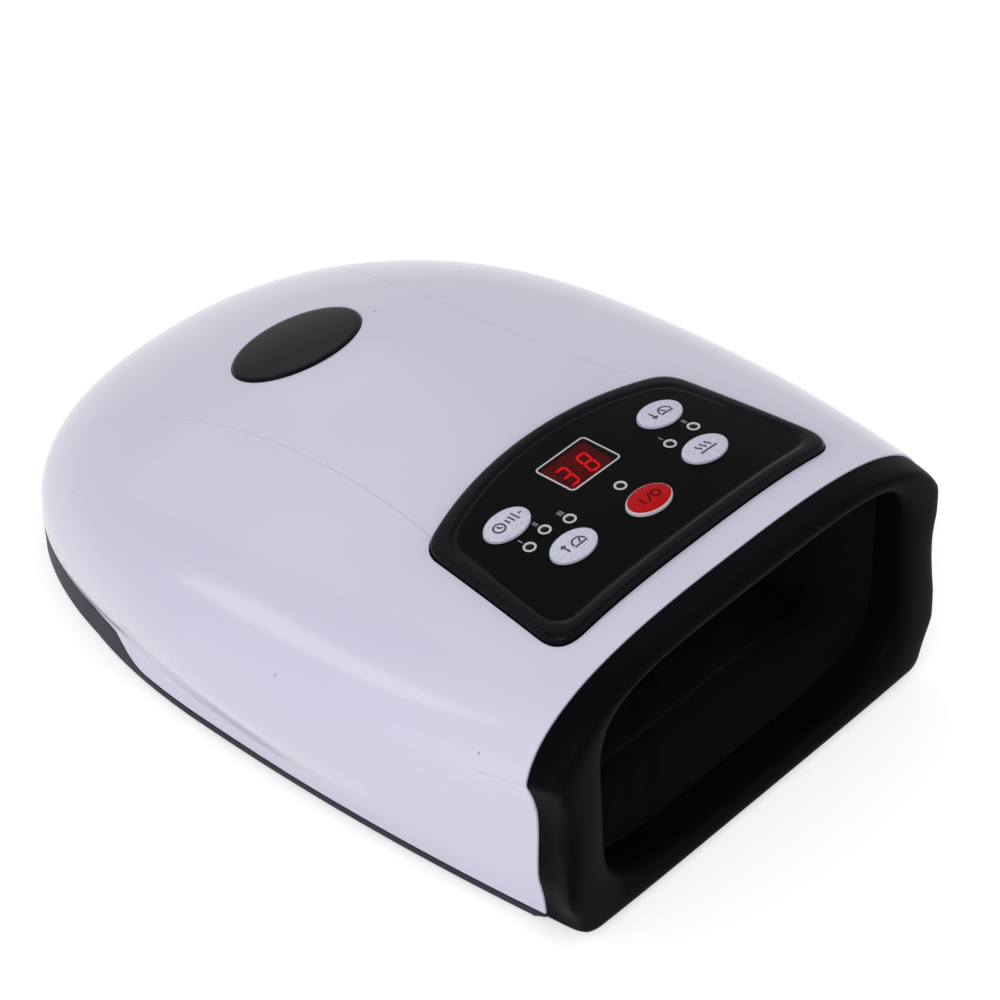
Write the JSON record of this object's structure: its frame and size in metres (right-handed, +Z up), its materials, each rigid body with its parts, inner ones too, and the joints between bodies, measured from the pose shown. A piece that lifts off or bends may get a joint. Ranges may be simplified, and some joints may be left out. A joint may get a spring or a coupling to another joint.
{
  "type": "hand massager",
  "caption": "Electric hand massager: glossy domed D-shaped casing with a wide mouth for a hand, a bowed key panel with a display, and air-driven plates inside.",
  "frame": {"origin": "centre of the footprint, at the undersides of the four feet", "axes": "+X to the right of someone whose hand goes in, +Y from the mouth to the closed back, +Z up"},
  "size_m": [0.19, 0.252, 0.0886],
  "materials": {
    "white_shell": "gloss white with a faint lilac cast",
    "dark_base": "satin dark grey",
    "fascia_black": "semi-gloss black",
    "badge_black": "domed gloss black",
    "key_silver": "satin pale silver",
    "key_red": "satin red",
    "light_pipe": "clear light pipe with a pale rim",
    "display_smoke": "dark red window",
    "bezel_black": "fine matte black",
    "inner_plastic": "matte black moulding",
    "black_cloth": "matte black knitted cloth",
    "air_rubber": "dark rubber",
    "foot_rubber": "matte dark rubber",
    "circuit_board": "green circuit board",
    "heating_film": "amber film",
    "steel": "plain steel",
    "plunger_brass": "plain brass"
  },
  "bodies": {
    "casing": {"upper_shell": "white_shell", "rear_cover": "white_shell", "base_shell": "dark_base", "control_fascia": "fascia_black", "badge": "badge_black", "timer_light_1": "light_pipe", "timer_light_2": "light_pipe", "timer_light_3": "light_pipe", "level_light_1": "light_pipe", "level_light_2": "light_pipe", "power_light": "light_pipe", "display_window": "display_smoke", "mouth_bezel": "bezel_black", "clamp_ring": "inner_plastic", "inner_frame": "inner_plastic", "display_module": "inner_plastic", "timer_switch": "inner_plastic", "pressure_switch": "inner_plastic", "release_switch": "inner_plastic", "heat_switch": "inner_plastic", "power_switch": "inner_plastic", "pump_housing": "inner_plastic", "swash_plate": "inner_plastic", "pump_head": "inner_plastic", "air_manifold": "inner_plastic", "power_socket": "inner_plastic", "throat_liner": "black_cloth", "hand_sleeve": "black_cloth", "upper_air_cell": "air_rubber", "lower_air_cell": "air_rubber", "pump_diaphragm": "air_rubber", "pump_hose": "air_rubber", "upper_hose": "air_rubber", "lower_hose": "air_rubber", "foot_front_left": "foot_rubber", "foot_front_right": "foot_rubber", "foot_rear_left": "foot_rubber", "foot_rear_right": "foot_rubber", "control_board": "circuit_board", "power_board": "circuit_board", "pump_motor": "steel", "upper_valve": "steel", "lower_valve": "steel", "screw_front_left": "steel", "screw_front_right": "steel", "screw_rear_left": "steel", "screw_rear_right": "steel"},
    "timer_key": {"timer_key": "key_silver"},
    "pressure_key": {"pressure_key": "key_silver"},
    "release_key": {"release_key": "key_silver"},
    "heat_key": {"heat_key": "key_silver"},
    "power_key": {"power_key": "key_red"},
    "press_unit": {"press_plate": "inner_plastic", "press_cover": "black_cloth"},
    "palm_unit": {"heating_film": "heating_film", "massage_plate": "inner_plastic", "palm_cover": "black_cloth"},
    "rotor": {"motor_rotor": "steel"},
    "upper_plunger": {"upper_valve_plunger": "plunger_brass"},
    "lower_plunger": {"lower_valve_plunger": "plunger_brass"}
  },
  "joints": [
    {"name": "timer_key_press", "type": "slide", "parent": "casing", "child": "timer_key", "axis": [0, 0, -1], "range_m": [0, 0.0008], "stiffness_N_per_m": 300, "springref_m": -0.0005},
    {"name": "pressure_key_press", "type": "slide", "parent": "casing", "child": "pressure_key", "axis": [0, 0, -1], "range_m": [0, 0.0008], "stiffness_N_per_m": 300, "springref_m": -0.0005},
    {"name": "release_key_press", "type": "slide", "parent": "casing", "child": "release_key", "axis": [0, 0, -1], "range_m": [0, 0.0008], "stiffness_N_per_m": 300, "springref_m": -0.0005},
    {"name": "heat_key_press", "type": "slide", "parent": "casing", "child": "heat_key", "axis": [0, 0, -1], "range_m": [0, 0.0008], "stiffness_N_per_m": 300, "springref_m": -0.0005},
    {"name": "power_key_press", "type": "slide", "parent": "casing", "child": "power_key", "axis": [0, 0, -1], "range_m": [0, 0.0008], "stiffness_N_per_m": 300, "springref_m": -0.0005},
    {"name": "press_slide", "type": "slide", "parent": "casing", "child": "press_unit", "axis": [0, 0, -1], "range_m": [0, 0.008], "stiffness_N_per_m": 300, "springref_m": -0.005, "deforming": ["upper_air_cell"]},
    {"name": "palm_slide", "type": "slide", "parent": "casing", "child": "palm_unit", "axis": [0, 0, 1], "range_m": [0, 0.006], "deforming": ["lower_air_cell"]},
    {"name": "motor_spin", "type": "hinge", "parent": "casing", "child": "rotor", "pos_m": [-0.056, 0.067, 0.0195], "axis": [1, 0, 0], "continuous": true},
    {"name": "upper_valve_slide", "type": "slide", "parent": "casing", "child": "upper_plunger", "axis": [-1, 0, 0], "range_m": [0, 0.0015], "stiffness_N_per_m": 100, "springref_m": -0.001},
    {"name": "lower_valve_slide", "type": "slide", "parent": "casing", "child": "lower_plunger", "axis": [-1, 0, 0], "range_m": [0, 0.0015], "stiffness_N_per_m": 100, "springref_m": -0.001}
  ]
}
